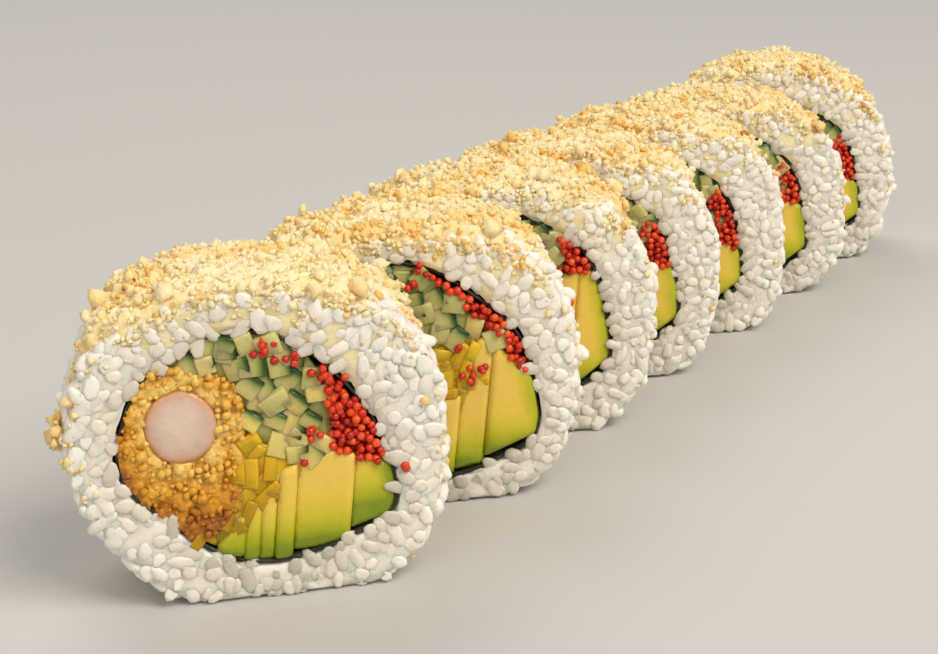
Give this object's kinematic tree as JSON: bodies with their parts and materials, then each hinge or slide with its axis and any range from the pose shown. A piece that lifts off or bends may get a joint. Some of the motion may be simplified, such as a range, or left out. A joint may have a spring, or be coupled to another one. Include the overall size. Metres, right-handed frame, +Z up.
{
  "type": "uramaki roll",
  "caption": "Sliced inside-out sushi roll in a row: crumb-coated rice round seaweed, with battered prawn, cucumber, roe, pickle and avocado at each cut face.",
  "frame": {"origin": "centre of the row's box, at the plane that the slices stand on", "axes": "+X along the row, from the slice whose filled face shows fully to the last one; +Z up; the slices' cut faces look towards -X and -Y"},
  "size_m": [0.2151, 0.0531, 0.0397],
  "materials": {
    "rice": "moist white rice under a golden crumb coat",
    "nori": "moist dark green-black seaweed sheet",
    "prawn": "moist pale pink cooked prawn",
    "batter": "fried golden-brown crumbly batter",
    "cucumber": "wet translucent pale green flesh with dark green skin",
    "roe": "glossy translucent red-orange beads",
    "pickle": "wet translucent amber-yellow strips",
    "avocado": "soft buttery yellow flesh turning green at the skin side"
  },
  "bodies": {
    "root": {"rice_1": "rice", "nori_1": "nori", "prawn_1": "prawn", "batter_1": "batter", "cucumber_1": "cucumber", "roe_1": "roe", "pickle_1": "pickle", "avocado_1": "avocado", "rice_2": "rice", "nori_2": "nori", "prawn_2": "prawn", "batter_2": "batter", "cucumber_2": "cucumber", "roe_2": "roe", "pickle_2": "pickle", "avocado_2": "avocado", "rice_3": "rice", "nori_3": "nori", "prawn_3": "prawn", "batter_3": "batter", "cucumber_3": "cucumber", "roe_3": "roe", "pickle_3": "pickle", "avocado_3": "avocado", "rice_4": "rice", "nori_4": "nori", "prawn_4": "prawn", "batter_4": "batter", "cucumber_4": "cucumber", "roe_4": "roe", "pickle_4": "pickle", "avocado_4": "avocado", "rice_5": "rice", "nori_5": "nori", "prawn_5": "prawn", "batter_5": "batter", "cucumber_5": "cucumber", "roe_5": "roe", "pickle_5": "pickle", "avocado_5": "avocado", "rice_6": "rice", "nori_6": "nori", "prawn_6": "prawn", "batter_6": "batter", "cucumber_6": "cucumber", "roe_6": "roe", "pickle_6": "pickle", "avocado_6": "avocado", "rice_7": "rice", "nori_7": "nori", "prawn_7": "prawn", "batter_7": "batter", "cucumber_7": "cucumber", "roe_7": "roe", "pickle_7": "pickle", "avocado_7": "avocado"}
  },
  "joints": []
}
